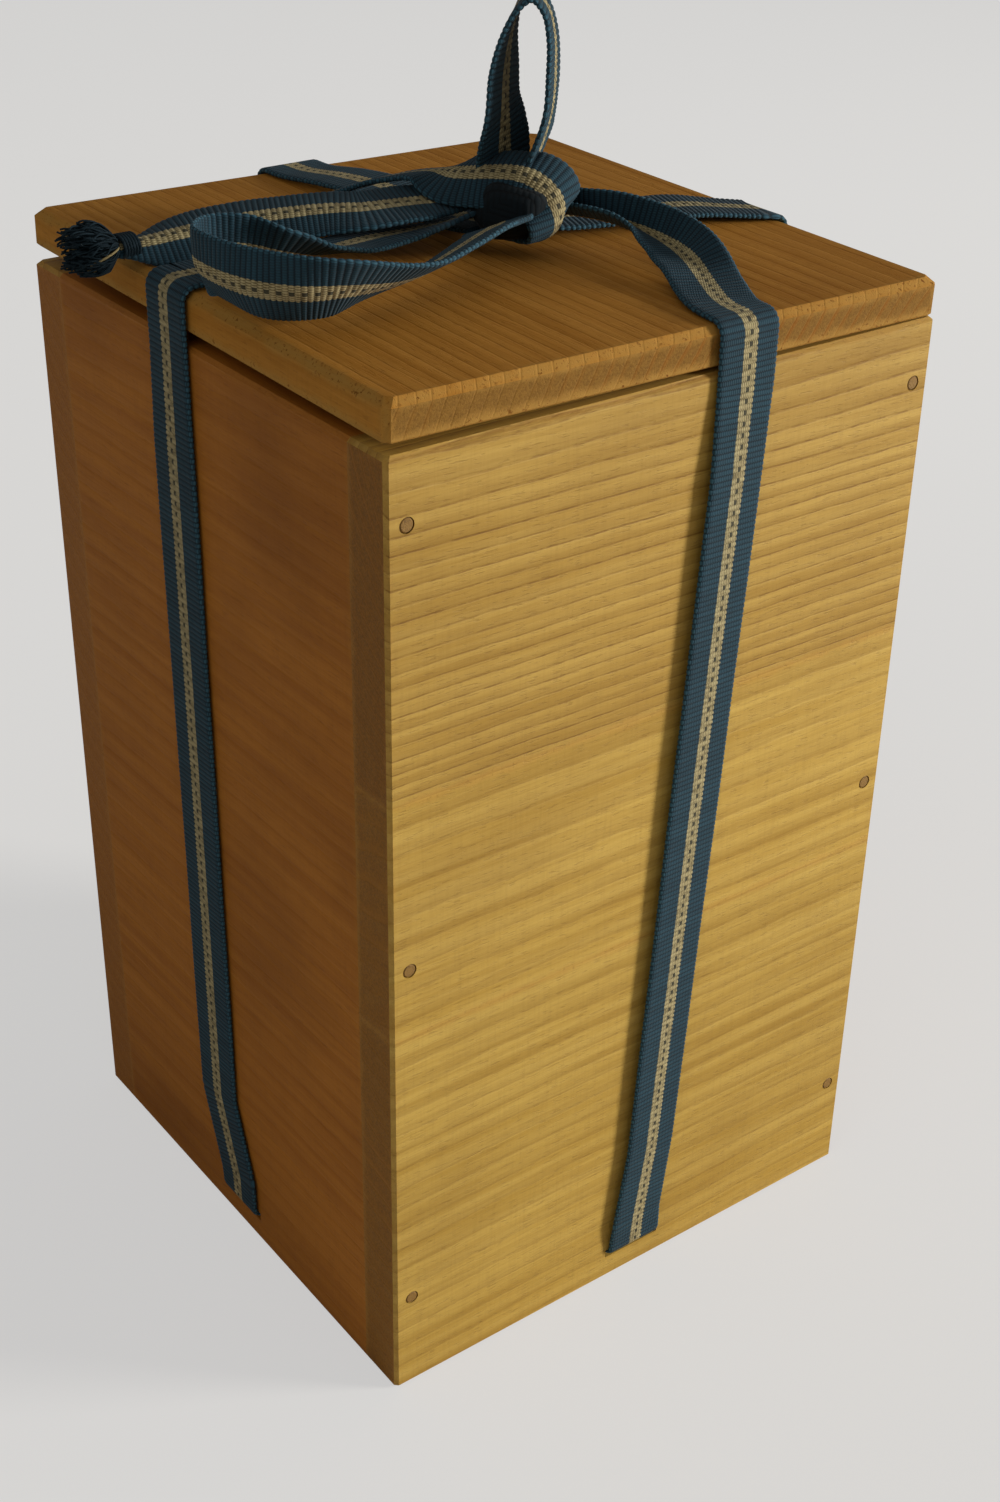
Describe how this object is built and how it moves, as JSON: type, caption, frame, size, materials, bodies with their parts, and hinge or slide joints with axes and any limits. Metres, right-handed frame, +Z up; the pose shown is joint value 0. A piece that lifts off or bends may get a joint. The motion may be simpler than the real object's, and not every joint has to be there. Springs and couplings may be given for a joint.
{
  "type": "tied wooden storage box",
  "caption": "Square upright storage box of paulownia boards with a loose lid, tied four ways with a flat woven strap that ends in a bow on the lid.",
  "frame": {"origin": "middle of the outline of the box (its body and lid) on the ground plane", "axes": "+Z up, -Y towards the front wall (the wall glued from three boards, where the strap crosses right of the middle), +X towards the right wall"},
  "size_m": [0.1509, 0.139, 0.2855],
  "materials": {
    "paulownia": "satin",
    "peg_wood": "satin",
    "woven_strap": "matte"
  },
  "bodies": {
    "box": {"front_wall_lower_board": "paulownia", "front_wall_middle_board": "paulownia", "front_wall_upper_board": "paulownia", "back_wall": "paulownia", "left_wall": "paulownia", "right_wall": "paulownia", "floor_board": "paulownia", "peg_front_left_lower": "peg_wood", "peg_front_left_middle": "peg_wood", "peg_front_left_upper": "peg_wood", "peg_front_right_lower": "peg_wood", "peg_front_right_middle": "peg_wood", "peg_front_right_upper": "peg_wood", "peg_back_left_lower": "peg_wood", "peg_back_left_middle": "peg_wood", "peg_back_left_upper": "peg_wood", "peg_back_right_lower": "peg_wood", "peg_back_right_middle": "peg_wood", "peg_back_right_upper": "peg_wood", "strap_under_front_back": "woven_strap", "strap_under_left_right": "woven_strap", "strap_side_front": "woven_strap", "strap_side_back": "woven_strap", "strap_side_left": "woven_strap", "strap_side_right": "woven_strap"},
    "lid": {"lid_board": "paulownia", "lid_batten_front": "paulownia", "lid_batten_back": "paulownia", "lid_batten_left": "paulownia", "lid_batten_right": "paulownia", "strap_lid_front": "woven_strap", "strap_lid_back": "woven_strap", "strap_lid_left": "woven_strap", "strap_lid_right": "woven_strap", "knot_core": "woven_strap", "knot_band": "woven_strap", "bow_loop_lying": "woven_strap", "bow_loop_standing": "woven_strap", "strap_tail": "woven_strap", "tail_tassel": "woven_strap"}
  },
  "joints": [
    {"name": "lid_lift", "type": "slide", "parent": "box", "child": "lid", "axis": [0, 0, 1], "range_m": [0, 0.045], "deforming": ["strap_side_front", "strap_side_back", "strap_side_left", "strap_side_right"]}
  ]
}
